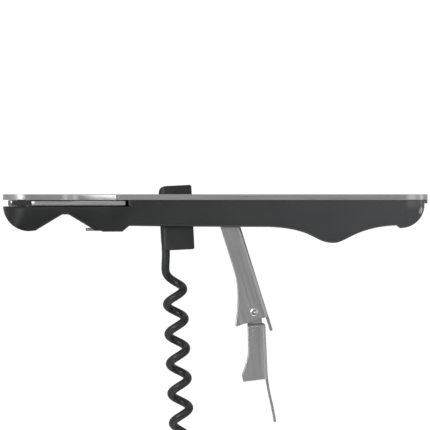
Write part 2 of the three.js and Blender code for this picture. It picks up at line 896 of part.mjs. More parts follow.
function upperLever() {
  const plan = channelPlan(-upperToe - overrun, upperWebOffset);
  const folded = flat(plan, -upperReach - overrun, hubRadius + overrun);
  const whole = upright(upperOutline(), -leverHalf, leverHalf).intersect(folded);
  const inner = leverHalf - sheet;
  const hollow = block(
    -upperToe - overrun,
    upperWebOffset - sheet,
    -upperReach - overrun,
    hubRadius + overrun,
    -inner,
    inner,
  );
  const hubGap = block(
    -hubRadius - overrun,
    upperWebOffset + overrun,
    -upperWebStart,
    hubRadius + overrun,
    -inner,
    inner,
  );
  const stop = block(
    upperWebOffset - stopTongueSheet,
    upperWebOffset,
    -upperReach - stopTongue,
    -upperReach + overrun,
    -stopTongueWidth / 2,
    stopTongueWidth / 2,
  );
  const axleBore = barZ(0, 0, bearingRadius, -midPlane, midPlane, fine);
  const rivetBore = barZ(
    -rivetOffset,
    -rivetReach,
    rivetRadius + fixedPlay,
    -midPlane,
    midPlane,
  );
  return joined(cut(whole, hollow, hubGap, axleBore, rivetBore), stop);
}

function rivet(side) {
  const out = leverHalf + rivetHeadHeight;
  const inside = leverHalf - 2 * sheet - runningPlay;
  const dome = rivetHeadRadius * Math.SQRT1_2;
  const body = turned([
    [0, inside],
    [rivetRadius, inside],
    [rivetRadius, leverHalf + runningPlay],
    [rivetHeadRadius, leverHalf + runningPlay],
    [dome, out],
    [0, out],
  ]);
  return body.rotate([side * 90, 0, 0]);
}

function lowerSide() {
  const outline = new THREE.Shape();
  outline.moveTo(lowerWebOffset, -lowerNeck - lowerWebChamfer);
  outline.lineTo(lowerWebOffset - lowerWebChamfer, -lowerNeck);
  outline.lineTo(-lowerWaist, -lowerNeck);
  outline.lineTo(-lowerWaistFoot, -lowerFlare);
  outline.quadraticCurveTo(
    -lowerWaistFoot,
    -lowerFlare - (lowerToeReach - lowerFlare) * lowerFlareShare,
    -lowerToe,
    -lowerToeReach,
  );
  outline.lineTo(-lowerToe + lowerToeSlope, -lowerReach);
  outline.lineTo(lowerWebOffset, -lowerReach + lowerFootRise);
  return outline;
}

function lowerNeckSide() {
  const outline = new THREE.Shape();
  outline.absarc(0, 0, neckRadius, 0, Math.PI);
  outline.lineTo(-neckRadius, -lowerNeck - sheet);
  outline.lineTo(neckRadius, -lowerNeck - sheet);
  return outline;
}

// The lower lever seen along X, narrowing over its sloped shoulders to the neck
function lowerFront(neckOuter) {
  const outline = new THREE.Shape();
  const top = lowerNeck + lowerJoggle;
  outline.moveTo(-leverHalf, -lowerReach - overrun);
  outline.lineTo(leverHalf, -lowerReach - overrun);
  outline.lineTo(leverHalf, -top);
  outline.lineTo(neckOuter, -lowerNeck);
  outline.lineTo(-neckOuter, -lowerNeck);
  outline.lineTo(-leverHalf, -top);
  return outline;
}

const pullTongueShares = [
  [0, 0],
  [0.18, 0.12],
  [0.42, 0.37],
  [0.6, 0.61],
  [0.85, 0.9],
  [1, 1],
];

function pullTongueStrip() {
  const start = lowerReach - lowerFootRise - sheet;
  const inner = lowerWebOffset - sheet + pullTongueSheet / 2;
  const centres = pullTongueShares.map(([along, across]) => {
    const y = -(start + (pullTongue - start) * along);
    return new THREE.Vector2(inner + pullTongueSweep * across, y);
  });
  const curve = new THREE.SplineCurve(centres);
  const points = curve.getPoints(2 * curveSteps);
  const half = pullTongueSheet / 2;
  const right = points.map((p) => new THREE.Vector2(p.x + half, p.y));
  const left = points.map((p) => new THREE.Vector2(p.x - half, p.y)).reverse();
  const strip = new THREE.Shape([...right, ...left]);
  return upright(strip, -pullTongueWidth / 2, pullTongueWidth / 2);
}

function lowerLever() {
  const outer = leverHalf;
  const neckOuter = leverHalf - sheet - runningPlay;
  const neckInner = neckOuter - sheet;
  const plan = channelPlan(-lowerToe - overrun, lowerWebOffset);
  const folded = flat(plan, -lowerReach - overrun, 0);
  const front = upright(lowerFront(neckOuter), -lowerToe - overrun, lowerWebOffset + overrun);
  const sloped = front.rotate([0, 90, 0]);
  const shell = upright(lowerSide(), -outer, outer).intersect(folded).intersect(sloped);
  const hollow = block(
    -lowerToe - overrun,
    lowerWebOffset - sheet,
    -lowerReach - overrun,
    -lowerNeck - sheet,
    -outer + sheet,
    outer - sheet,
  );
  const mouth = block(
    -lowerToe - overrun,
    lowerWebOffset - sheet,
    -lowerNeck - overrun,
    0,
    -neckInner,
    neckInner,
  );
  const cheeks = upright(lowerNeckSide(), -neckOuter, neckOuter);
  const between = block(
    -neckRadius - overrun,
    neckRadius + overrun,
    -lowerNeck - overrun,
    neckRadius + overrun,
    -neckInner,
    neckInner,
  );
  const body = joined(cut(shell, hollow, mouth), cut(cheeks, between), pullTongueStrip());
  const bore = barZ(0, 0, rivetRadius + runningPlay, -midPlane, midPlane);
  return cut(body, bore);
}

// Materials
function finish(color, roughness, metalness) {
  return new THREE.MeshStandardMaterial({ color, roughness, metalness });
}

const charcoal = finish(0x2d2f30, 0.55, 0);
const carrierBlack = finish(0x222424, 0.5, 0);
const brushedSpine = finish(0x939495, 0.35, 1);
const satinSheet = finish(0x8c8d8c, 0.42, 1);
const polishedSteel = finish(0xb4b5b6, 0.18, 1);
const knifeSteel = finish(0x8e9091, 0.3, 1);
const coatedSteel = finish(0x2b2d2e, 0.32, 0.4);
const hardSteel = finish(0x77797a, 0.4, 1);
const paleNylon = finish(0xd8d6ce, 0.6, 0);

// Assembly
function piece(name, geometry, material) {
  const mesh = new THREE.Mesh(geometry, material);
  mesh.name = name;
  return mesh;
}

function solidPiece(name, solid, material) {
  return piece(name, geometryOf(solid), material);
}

function axle(name, x) {
  const low = axlePocketFloor + fixedPlay;
  return solidPiece(name, barZ(x, 0, axleRadius, low, handleWidth - low, fine), polishedSteel);
}

// A pair of washers between a swinging piece of the given half width and the walls or bosses
function washerPair(prefix, x, half) {
  const inner = axleRadius + runningPlay;
  const outer = axleRadius + washerWidth;
  const low = half + runningPlay;
  const high = low + washerThickness;
  const near = washer(x, 0, inner, outer, midPlane + low, midPlane + high);
  const far = washer(x, 0, inner, outer, midPlane - high, midPlane - low);
  return [
    solidPiece(prefix + "_washer_near", near, paleNylon),
    solidPiece(prefix + "_washer_far", far, paleNylon),
  ];
}

const handle = new THREE.Group();
handle.add(
  solidPiece("near_casing", casingHalf(midPlane, handleWidth + overrun), charcoal),
  solidPiece("far_casing", casingHalf(-overrun, midPlane), charcoal),
  solidPiece("spine_plate", spinePlate(), brushedSpine),
  solidPiece("opener_tooth", openerTooth(), hardSteel),
  solidPiece("knife_post", knifePost(), polishedSteel),
  axle("carrier_axle", carrierAxleX),
  axle("lever_axle", leverAxleX),
  ...washerPair("carrier", carrierAxleX, carrierHalf),
  ...washerPair("lever", leverAxleX, leverHalf),
);
for (const [name, [x, z]] of Object.entries(spineScrewPlaces)) {
  const body = screw(spineScrewRadius, spineScrewHead, spineScrewLength);
  handle.add(solidPiece(name, body.translate([x, spineTop, z]), polishedSteel));
}
for (const [name, [x, y]] of Object.entries(crossScrewPlaces)) {
  const body = screw(crossScrewRadius, crossScrewHead, crossScrewLength);
  handle.add(solidPiece(name, facingFar(body, x, y), hardSteel));
}
const bladeFoot = ledge + 2 * knifePlay + knifeWasher;
const bladeTop = bladeFoot + knifeThickness;
handle.add(
  solidPiece(
    "knife_washer_bottom",
    knifeRing(ledge + knifePlay, ledge + knifePlay + knifeWasher),
    paleNylon,
  ),
  solidPiece(
    "knife_washer_top",
    knifeRing(bladeTop + knifePlay, bladeTop + knifePlay + knifeWasher),
    paleNylon,
  ),
);

const knifeArm = new THREE.Group();
knifeArm.position.set(knifeX, (bladeFoot + bladeTop) / 2, midPlane);
knifeArm.add(solidPiece("foil_knife", foilKnife(), knifeSteel));
handle.add(knifeArm);

const wormArm = new THREE.Group();
wormArm.position.set(carrierAxleX, 0, midPlane);
wormArm.rotation.z = armTilt;
wormArm.add(
  solidPiece("worm_carrier", wormCarrier(), carrierBlack),
  piece("worm", worm(), coatedSteel),
);
handle.add(wormArm);

const upperArm = new THREE.Group();
upperArm.position.set(leverAxleX, 0, midPlane);
upperArm.rotation.z = upperTilt;
const lowerArm = new THREE.Group();
lowerArm.position.set(-rivetOffset, -rivetReach, 0);
lowerArm.rotation.z = lowerTilt - upperTilt;
const rivetNear = solidPiece("lever_rivet_near", rivet(1), polishedSteel);
const rivetFar = solidPiece("lever_rivet_far", rivet(-1), polishedSteel);
rivetNear.position.copy(lowerArm.position);
rivetFar.position.copy(lowerArm.position);
lowerArm.add(solidPiece("lower_lever", lowerLever(), satinSheet));
upperArm.add(solidPiece("upper_lever", upperLever(), satinSheet), rivetNear, rivetFar, lowerArm);
handle.add(upperArm);

export default handle;
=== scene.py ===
import math

import bmesh
import bpy
from mathutils import Matrix, Vector


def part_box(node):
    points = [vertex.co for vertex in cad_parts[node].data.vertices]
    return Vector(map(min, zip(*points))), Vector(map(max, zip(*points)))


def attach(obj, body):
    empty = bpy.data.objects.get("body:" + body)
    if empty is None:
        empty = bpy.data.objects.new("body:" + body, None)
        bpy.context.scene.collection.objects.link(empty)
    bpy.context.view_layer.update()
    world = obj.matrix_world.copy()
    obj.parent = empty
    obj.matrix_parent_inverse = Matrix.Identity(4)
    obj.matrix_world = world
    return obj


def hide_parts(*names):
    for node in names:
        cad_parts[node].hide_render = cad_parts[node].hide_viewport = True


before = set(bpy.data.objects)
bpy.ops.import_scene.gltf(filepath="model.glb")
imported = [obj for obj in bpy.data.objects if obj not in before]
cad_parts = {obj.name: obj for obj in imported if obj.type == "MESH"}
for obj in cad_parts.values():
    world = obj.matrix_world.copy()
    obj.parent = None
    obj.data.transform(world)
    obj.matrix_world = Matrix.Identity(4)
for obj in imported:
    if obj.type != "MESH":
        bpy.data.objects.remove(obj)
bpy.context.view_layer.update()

# Studio. The tool lies on its far side on a glowing white table and is seen square on through a
# very long lens, as in a shop photograph. A softbox on the upper left catches the rounded knife
# end, a wide pale panel stands on the right, and the ceiling right behind the lens is dark.
picture_scale = 0.0003293
picture_width = 430
picture_middle = (-0.25, -2.6)
focus_height = 0.0155
lens_distance = 5.0
lens = bpy.data.cameras.new("camera")
lens.lens = lens.sensor_width * lens_distance / (picture_width * picture_scale)
lens.clip_start = 0.1
lens.clip_end = 50
camera = bpy.data.objects.new("camera", lens)
camera.location = (
    picture_middle[0] * picture_scale,
    picture_middle[1] * picture_scale,
    focus_height + lens_distance,
)
bpy.context.scene.collection.objects.link(camera)
bpy.context.scene.camera = camera
bpy.context.scene.view_settings.view_transform = "Standard"

room_light = 0.56
world = bpy.data.worlds.new("studio")
world.use_nodes = True
bpy.context.scene.world = world
sky = world.node_tree
background = sky.nodes["Background"]
background.inputs["Color"].default_value = (1, 1, 1, 1)
direction = sky.nodes.new("ShaderNodeTexCoord")


def feed(tree, socket, item):
    """Puts a plain value or another node's output into a socket."""
    if isinstance(item, bpy.types.NodeSocket):
        tree.links.new(item, socket)
    else:
        socket.default_value = item


def maths(tree, operation, first, second=0.0):
    """Arithmetic on one or two numbers."""
    node = tree.nodes.new("ShaderNodeMath")
    node.operation = operation
    feed(tree, node.inputs[0], first)
    feed(tree, node.inputs[1], second)
    return node.outputs[0]


def ranged(tree, value, start, end, low=0.0, high=1.0, kind="LINEAR"):
    """A number carried over from the range start to end to the range low to high."""
    node = tree.nodes.new("ShaderNodeMapRange")
    node.interpolation_type = kind
    labels = ("Value", "From Min", "From Max", "To Min", "To Max")
    for label, item in zip(labels, (value, start, end, low, high)):
        feed(tree, node.inputs[label], item)
    return node.outputs["Result"]


def mixed(tree, kind, factor, first, second):
    """A mix of two colours or of two numbers."""
    node = tree.nodes.new("ShaderNodeMix")
    node.data_type = kind
    for label, item in (("Factor", factor), ("A", first), ("B", second)):
        feed(tree, node.inputs[label], item)
    return node.outputs["Result"]


def panel(lean_x, lean_y, inner, outer, radiance):
    """A soft round panel in the sky, given by how far it leans from straight up, in degrees."""
    across, up = math.tan(math.radians(lean_x)), math.tan(math.radians(lean_y))
    nearness = sky.nodes.new("ShaderNodeVectorMath")
    nearness.operation = "DOT_PRODUCT"
    nearness.inputs[1].default_value = Vector((across, up, 1)).normalized()
    sky.links.new(direction.outputs["Generated"], nearness.inputs[0])
    rim, heart = math.cos(math.radians(outer)), math.cos(math.radians(inner))
    return ranged(sky, nearness.outputs["Value"], rim, heart, 0.0, radiance, "SMOOTHSTEP")


panels = {
    "softbox": (-33, 20, 11, 19, 5.0),
    "right_panel": (41, 4, 17, 22, 0.32),
    "front_strip": (-10, -72, 10, 26, 1.3),
    "dark_lens": (0, 0, 3, 15, -0.4),
    "dark_front": (0, -26, 8, 22, -0.4),
}
strength = room_light
for sizes_of_panel in panels.values():
    strength = maths(sky, "ADD", panel(*sizes_of_panel), strength)
sky.links.new(strength, background.inputs["Strength"])


def placed(name, mesh):
    """A new object in the scene around a mesh."""
    thing = bpy.data.objects.new(name, mesh)
    bpy.context.scene.collection.objects.link(thing)
    return thing


table_mesh = bpy.data.meshes.new("light_table")
table_half = 3
table_level = -0.0001
table_mesh.from_pydata(
    [
        (x * table_half, y * table_half, table_level)
        for x, y in ((-1, -1), (1, -1), (1, 1), (-1, 1))
    ],
    [],
    [(0, 1, 2, 3)],
)
table = placed("light_table", table_mesh)
table_top = bpy.data.materials.new("glowing_white")
table_top.use_nodes = True
glow = table_top.node_tree.nodes["Principled BSDF"]
glow.inputs["Base Color"].default_value = (0.04, 0.04, 0.04, 1)
glow.inputs["Roughness"].default_value = 0.9
glow.inputs["Specular IOR Level"].default_value = 0
glow.inputs["Emission Color"].default_value = (1, 1, 1, 1)
white_seen = 1.0
white_mirrored = 0.45
strip_mirrored = 1.0
strip_start, strip_end, strip_half = 0.14, 0.6, 0.12
strip_fade_along, strip_fade_across = 0.02, 0.04
table_tree = table_top.node_tree
table_place = table_tree.nodes.new("ShaderNodeTexCoord")
table_parts = table_tree.nodes.new("ShaderNodeSeparateXYZ")
table_tree.links.new(table_place.outputs["Object"], table_parts.inputs["Vector"])


def table_band(output, centre, half, fade):
    """One inside a band of the table and zero outside it."""
    offset = maths(table_tree, "SUBTRACT", table_parts.outputs[output], centre)
    apart = maths(table_tree, "ABSOLUTE", offset)
    return ranged(table_tree, apart, half + fade, half, kind="SMOOTHSTEP")


strip_middle, strip_reach = (strip_start + strip_end) / 2, (strip_end - strip_start) / 2
strip = maths(
    table_tree,
    "MULTIPLY",
    table_band("X", strip_middle, strip_reach, strip_fade_along),
    table_band("Y", 0, strip_half, strip_fade_across),
)
brightest = white_mirrored + strip_mirrored
mirrored = ranged(table_tree, strip, 0.0, 1.0, white_mirrored, brightest)
ray = table_tree.nodes.new("ShaderNodeLightPath")
shine = mixed(table_tree, "FLOAT", ray.outputs["Is Camera Ray"], mirrored, white_seen)
table_tree.links.new(shine, glow.inputs["Emission Strength"])
table_mesh.materials.append(table_top)


# Spine plate: a bar of flat stainless steel along the whole back, blanked out with a slot for
# the carrier and a thumb scallop, its rims broken and all its faces brushed lengthwise.
def drawn_grain_group():
    """Long fine scratches: Height for a bump and Tone for colour and roughness."""
    group = bpy.data.node_groups.new("drawn_grain", "ShaderNodeTree")
    group.interface.new_socket("Vector", in_out="INPUT", socket_type="NodeSocketVector")
    group.interface.new_socket("Frequency", in_out="INPUT", socket_type="NodeSocketVector")
    group.interface.new_socket("Height", in_out="OUTPUT", socket_type="NodeSocketFloat")
    group.interface.new_socket("Tone", in_out="OUTPUT", socket_type="NodeSocketFloat")
    start = group.nodes.new("NodeGroupInput")
    end = group.nodes.new("NodeGroupOutput")
    stretch = group.nodes.new("ShaderNodeVectorMath")
    stretch.operation = "MULTIPLY"
    group.links.new(start.outputs["Vector"], stretch.inputs[0])
    group.links.new(start.outputs["Frequency"], stretch.inputs[1])
    for output, scale, detail in (("Height", 1.0, 4), ("Tone", 0.8, 5)):
        noise = group.nodes.new("ShaderNodeTexNoise")
        noise.inputs["Scale"].default_value = scale
        noise.inputs["Detail"].default_value = detail
        noise.inputs["Roughness"].default_value = 0.62
        group.links.new(stretch.outputs["Vector"], noise.inputs["Vector"])
        group.links.new(noise.outputs["Fac"], end.inputs[output])
    return group


drawn_grain = drawn_grain_group()
noise_low, noise_high = 0.3, 0.7


def bumped(tree, height, distance):
    """A fine relief in the surface."""
    relief = tree.nodes.new("ShaderNodeBump")
    relief.inputs["Strength"].default_value = 1
    relief.inputs["Distance"].default_value = distance
    tree.links.new(height, relief.inputs["Height"])
    return relief.outputs["Normal"]


def brushed_steel(name, dark, light, rough, frequency, bump, turn=0.0):
    """Steel with grain along the piece, turned about Z where the piece lies at an angle."""
    material = bpy.data.materials.new(name)
    material.use_nodes = True
    tree = material.node_tree
    shader = tree.nodes["Principled BSDF"]
    shader.inputs["Metallic"].default_value = 1
    place = tree.nodes.new("ShaderNodeTexCoord")
    turned = tree.nodes.new("ShaderNodeMapping")
    turned.inputs["Rotation"].default_value = (0, 0, turn)
    grain = tree.nodes.new("ShaderNodeGroup")
    grain.node_tree = drawn_grain
    grain.inputs["Frequency"].default_value = frequency
    tree.links.new(place.outputs["Object"], turned.inputs["Vector"])
    tree.links.new(turned.outputs["Vector"], grain.inputs["Vector"])
    tint = mixed(tree, "RGBA", grain.outputs["Tone"], (*dark, 1), (*light, 1))
    polish = ranged(tree, grain.outputs["Tone"], noise_low, noise_high, *rough)
    tree.links.new(tint, shader.inputs["Base Color"])
    tree.links.new(polish, shader.inputs["Roughness"])
    tree.links.new(bumped(tree, grain.outputs["Height"], bump), shader.inputs["Normal"])
    return material


def welded(node):
    """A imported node's faces with their corners merged and flat neighbours joined."""
    same_corner, still_flat = 1e-6, math.radians(0.8)
    work = bmesh.new()
    work.from_mesh(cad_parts[node].data)
    bmesh.ops.remove_doubles(work, verts=work.verts[:], dist=same_corner)
    bmesh.ops.dissolve_limit(
        work, angle_limit=still_flat, verts=work.verts[:], edges=work.edges[:]
    )
    work.verts.index_update()
    corners = [v.co.copy() for v in work.verts]
    faces = [[v.index for v in f.verts] for f in work.faces]
    work.free()
    mesh = bpy.data.meshes.new(node)
    mesh.from_pydata(corners, [], faces)
    return mesh


def evaluated(draft):
    """A plain mesh of an object with its modifiers applied."""
    depsgraph = bpy.context.evaluated_depsgraph_get()
    return bpy.data.meshes.new_from_object(draft.evaluated_get(depsgraph))


def unfolded(mesh):
    """Swaps the long edge of each thin face that the rounding has turned over."""
    turned_over, swaps = math.radians(165), 12
    work = bmesh.new()
    work.from_mesh(mesh)
    bmesh.ops.triangulate(work, faces=[f for f in work.faces if len(f.verts) > 4])
    for _ in range(swaps):
        long_edges, used = [], set()
        for face in work.faces:
            folds = [e for e in face.edges if e.calc_face_angle(0) > turned_over]
            if len(face.verts) != 3 or len(folds) < 2:
                continue
            long_edge = max(face.edges, key=lambda e: e.calc_length())
            pair = set(long_edge.link_faces)
            if not pair & used and all(len(f.verts) == 3 for f in pair):
                long_edges.append(long_edge)
                used |= pair
        if not long_edges:
            break
        bmesh.ops.rotate_edges(work, edges=long_edges, use_ccw=False)
    work.to_mesh(mesh)
    work.free()
    return mesh


def finished(name, mesh, radius_at, body, stands_for, material, steps=3, crease=50):
    """Rounds a mesh's edges by radius_at(middle, normals), smooths it and puts it on its body."""
    work = bmesh.new()
    work.from_mesh(mesh)
    many_sided = [face for face in work.faces if len(face.verts) > 4]
    bmesh.ops.triangulate(work, faces=many_sided, ngon_method="BEAUTY")
    radii = {}
    for edge in work.edges:
        if len(edge.link_faces) == 2 and edge.calc_face_angle(0) > math.radians(crease):
            middle = (edge.verts[0].co + edge.verts[1].co) / 2
            radii[edge.index] = radius_at(middle, [f.normal for f in edge.link_faces])
    largest = max(radii.values(), default=0)
    if largest:
        weight = work.edges.layers.float.new("bevel_weight_edge")
        for edge in work.edges:
            edge[weight] = radii.get(edge.index, 0) / largest
    for edge in work.edges:
        edge.smooth = radii.get(edge.index, 1) > 0
    for face in work.faces:
        face.smooth = True
    work.to_mesh(mesh)
    work.free()
    draft = placed(name + "_draft", mesh)
    if largest:
        rounding = draft.modifiers.new("rounding", "BEVEL")
        rounding.limit_method = "WEIGHT"
        rounding.width = largest
        rounding.segments = steps
        rounding.use_clamp_overlap = False
    rounded = evaluated(draft)
    draft.modifiers.clear()
    draft.data = unfolded(rounded)
    shading = draft.modifiers.new("shading", "WEIGHTED_NORMAL")
    shading.keep_sharp = True
    shading.weight = 80
    final = evaluated(draft)
    bpy.data.objects.remove(draft)
    final.materials.clear()
    final.materials.append(material)
    piece = placed(name, final)
    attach(piece, body)
    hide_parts(*stands_for)


broken_edge = 0.00006
spine_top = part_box("spine_plate")[1].y
near_face_start = 0.01699
scallop_rim = 0.00025
scallop_start, scallop_end = -0.0511, -0.0325
scallop_floor = 0.0125
scallop_crown, crown_top = 85, 0.0013
full_roll = 1.6
rim_depths = (0.00002, 0.00006, 0.00012, 0.0002, 0.0004, 0.0006, 0.0008, 0.001, 0.0012, 0.0015)


def in_scallop(place):
    """Whether a place lies in the thumb scallop, between its ends and above its floor."""
    return place.z > scallop_floor and scallop_start < place.x < scallop_end


def scallop_rounded(mesh):
    """Crowns the wall of the thumb scallop and rolls its rim, more and more towards its step."""
    work = bmesh.new()
    work.from_mesh(mesh)
    upright = 0.2
    for depth in rim_depths:
        wall = [
            f
            for f in work.faces
            if in_scallop(f.calc_center_median()) and abs(f.normal.y) < upright
        ]
        parts = {e for f in wall for e in f.edges} | {v for f in wall for v in f.verts}
        bmesh.ops.bisect_plane(
            work, geom=wall + list(parts), plane_co=(0, spine_top - depth, 0), plane_no=(0, 1, 0)
        )
    for corner in work.verts:
        if not in_scallop(corner.co) or corner.co.z > near_face_start:
            continue
        along = (corner.co.x - scallop_start) / (scallop_end - scallop_start)
        share = min(1, full_roll * along)
        radius = scallop_rim * share
        below_top = spine_top - corner.co.y
        above = radius - below_top
        if below_top < crown_top:
            corner.co.z -= share * scallop_crown * (crown_top - below_top) ** 2
        if 0 < above:
            corner.co.z -= radius - math.sqrt(radius * radius - above * above)
    for face in work.faces:
        face.normal_update()
    work.to_mesh(mesh)
    work.free()
    return mesh


def spine_radius(middle, normals):
    """All edges are only broken, and the scallop's rim is rolled already."""
    return 0 if in_scallop(middle) else broken_edge


spine_steel = brushed_steel(
    "brushed_spine_steel",
    dark=(0.505, 0.505, 0.512),
    light=(0.605, 0.605, 0.613),
    rough=(0.26, 0.36),
    frequency=(45, 3600, 3600),
    bump=0.000004,
)
finished(
    "spine_bar",
    scallop_rounded(welded("spine_plate")),
    spine_radius,
    body="handle",
    stands_for=["spine_plate"],
    material=spine_steel,
)


# Casing: two charcoal nylon mouldings that meet along the middle, with soft rims, a finely
# spark-eroded skin and a hairline where the halves close on each other. The tail is painted paler
# as painted light, its top buffed glossier, and a painted highlight put on its near corner.
def moulded_skin_group():
    """The skin of a spark-eroded mould: Height for a bump, Tone for colour and gloss."""
    group = bpy.data.node_groups.new("moulded_skin", "ShaderNodeTree")
    group.interface.new_socket("Vector", in_out="INPUT", socket_type="NodeSocketVector")
    group.interface.new_socket("Height", in_out="OUTPUT", socket_type="NodeSocketFloat")
    group.interface.new_socket("Tone", in_out="OUTPUT", socket_type="NodeSocketFloat")
    start = group.nodes.new("NodeGroupInput")
    end = group.nodes.new("NodeGroupOutput")
    pits = group.nodes.new("ShaderNodeTexNoise")
    pits.inputs["Scale"].default_value = 5200
    pits.inputs["Detail"].default_value = 3
    flow = group.nodes.new("ShaderNodeTexNoise")
    flow.inputs["Scale"].default_value = 70
    flow.inputs["Detail"].default_value = 4
    for node, output in ((pits, "Height"), (flow, "Tone")):
        group.links.new(start.outputs["Vector"], node.inputs["Vector"])
        group.links.new(node.outputs["Fac"], end.inputs[output])
    return group


moulded_skin = moulded_skin_group()


def moulded_plastic(name, dark, light, rough, bump, painted_light_by=None):
    """Moulded plastic with its skin, and with painted light and gloss where an optional function
    adds them.
    """
    material = bpy.data.materials.new(name)
    material.use_nodes = True
    tree = material.node_tree
    shader = tree.nodes["Principled BSDF"]
    shader.inputs["IOR"].default_value = 1.5
    place = tree.nodes.new("ShaderNodeTexCoord")
    skin = tree.nodes.new("ShaderNodeGroup")
    skin.node_tree = moulded_skin
    tree.links.new(place.outputs["Object"], skin.inputs["Vector"])
    colour = mixed(tree, "RGBA", skin.outputs["Tone"], (*dark, 1), (*light, 1))
    roughness = ranged(tree, skin.outputs["Tone"], noise_low, noise_high, *rough)
    tree.links.new(bumped(tree, skin.outputs["Height"], bump), shader.inputs["Normal"])
    if painted_light_by:
        colour, roughness = painted_light_by(tree, place.outputs["Object"], colour, roughness)
    tree.links.new(colour, shader.inputs["Base Color"])
    tree.links.new(roughness, shader.inputs["Roughness"])
    return material


def painted_tail_light(tree, place, colour, roughness):
    """Paints the casing paler towards its tail as painted light, buffs the tail's top glossier
    with a coat and paints a highlight on its near corner.
    """
    shader = tree.nodes["Principled BSDF"]
    parts = tree.nodes.new("ShaderNodeSeparateXYZ")
    highlight_box = tree.nodes.new("ShaderNodeMapping")
    highlight_box.vector_type = "TEXTURE"
    highlight_box.inputs["Location"].default_value = highlight_place
    highlight_box.inputs["Rotation"].default_value = (0, 0, highlight_tilt)
    highlight_box.inputs["Scale"].default_value = highlight_size
    off_middle = tree.nodes.new("ShaderNodeVectorMath")
    off_middle.operation = "LENGTH"
    tree.links.new(place, parts.inputs["Vector"])
    tree.links.new(place, highlight_box.inputs["Vector"])
    tree.links.new(highlight_box.outputs["Vector"], off_middle.inputs[0])
    # Painted highlight: a light patch painted on the tail's near corner, made smoother and coated
    # there.
    painted_highlight = ranged(tree, off_middle.outputs["Value"], 1.0, highlight_heart_share, kind="SMOOTHSTEP")
    # Painted light: the casing's colour grows paler towards the tail, standing in for the light
    # that falls there.
    paler_tail_light = ranged(tree, parts.outputs["X"], tail_light_start, tail_light_end)
    along = ranged(tree, parts.outputs["X"], *buffed_along, 0.0, buffed_gloss, "SMOOTHSTEP")
    up = ranged(tree, parts.outputs["Y"], *buffed_up, kind="SMOOTHSTEP")
    coat = maths(tree, "MAXIMUM", painted_highlight, maths(tree, "MULTIPLY", along, up))
    shader.inputs["Coat IOR"].default_value = coat_ior
    shader.inputs["Coat Roughness"].default_value = coat_roughness
    tree.links.new(coat, shader.inputs["Coat Weight"])
    lit_tail_mix = mixed(tree, "RGBA", paler_tail_light, colour, lit_tail_colour)
    return (
        mixed(tree, "RGBA", painted_highlight, lit_tail_mix, highlight_colour),
        mixed(tree, "FLOAT", painted_highlight, roughness, highlight_roughness),
    )


mid_plane = 0.0085
bow_start, bow_fade = -0.0262, 0.006
bow_middle, bow_reach = 0.0012, 0.0055
bow_drop, bow_most = 0.0008, 1.4
core_half, shell_depth = 0.0068, 0.0017


def crowned(mesh):
    """Bows the knife end's flat sides in Y, fading out along the casing."""
    work = bmesh.new()
    work.from_mesh(mesh)
    cuts_along, cuts_up = 4, 7
    facing_out, same_place = 0.9, 1e-7

    def slice_at(place, normal):
        flats = [
            f
            for f in work.faces
            if abs(f.normal.z) > facing_out and f.calc_center_median().x < bow_start
        ]
        parts = {e for f in flats for e in f.edges} | {v for f in flats for v in f.verts}
        bmesh.ops.bisect_plane(
            work, geom=flats + list(parts), plane_co=place, plane_no=normal, dist=same_place
        )

    whole = work.verts[:] + work.edges[:] + work.faces[:]
    bmesh.ops.bisect_plane(work, geom=whole, plane_co=(bow_start, 0, 0), plane_no=(1, 0, 0))
    for step in range(1, cuts_along + 1):
        slice_at((bow_start - bow_fade * step / cuts_along, 0, 0), (1, 0, 0))
    for step in range(-cuts_up, cuts_up + 1):
        slice_at((0, bow_middle + bow_reach * step / cuts_up, 0), (0, 1, 0))
    for corner in work.verts:
        out = corner.co.z - mid_plane
        depth = min(1, max(0, (abs(out) - core_half) / shell_depth)) ** 2
        share = min(1, max(0, (bow_start - corner.co.x) / bow_fade))
        bow = min(bow_most, abs(corner.co.y - bow_middle) / bow_reach) ** 2
        eased = share * share * (3 - 2 * share)
        corner.co.z -= math.copysign(bow_drop * depth * eased * bow, out)
    for face in work.faces:
        face.normal_update()
    work.to_mesh(mesh)
    work.free()
    return mesh


coat_ior, coat_roughness = 2.5, 0.1
# Painted light: the paler colour of the tail, and where that paleness starts and ends along the
# casing.
lit_tail_colour = (0.053, 0.0545, 0.0575, 1)
tail_light_start, tail_light_end = -0.03, 0.072
buffed_along, buffed_up, buffed_gloss = (0.0618, 0.0632), (0.0008, 0.0026), 0.25
# Painted highlight on the tail's near corner: its colour, gloss, place, tilt and size.
highlight_colour, highlight_roughness = (0.42, 0.423, 0.43, 1), 0.12
highlight_place, highlight_tilt = (0.0681, 0.0009, 0.016), math.radians(-24)
highlight_size, highlight_heart_share = (0.0011, 0.0022, 0.003), 0.3
casing_plastic = moulded_plastic(
    "charcoal_nylon",
    dark=(0.008, 0.0089, 0.0086),
    light=(0.012, 0.0132, 0.0128),
    rough=(0.36, 0.48),
    bump=0.000007,
    painted_light_by=painted_tail_light,
)
parting_radius, parting_reach = 0.00012, 1e-5
moulded_corner = 0.00018


def casing_radius(middle, normals):
    """Moulded corners are soft, and finer where the halves meet."""
    at_parting = abs(middle.z - mid_plane) < parting_reach
    return parting_radius if at_parting else moulded_corner


for side in ("near", "far"):
    finished(
        f"casing_{side}_half",
        crowned(welded(f"{side}_casing")),
        casing_radius,
        body="handle",
        stands_for=[f"{side}_casing"],
        material=casing_plastic,
        steps=2,
    )


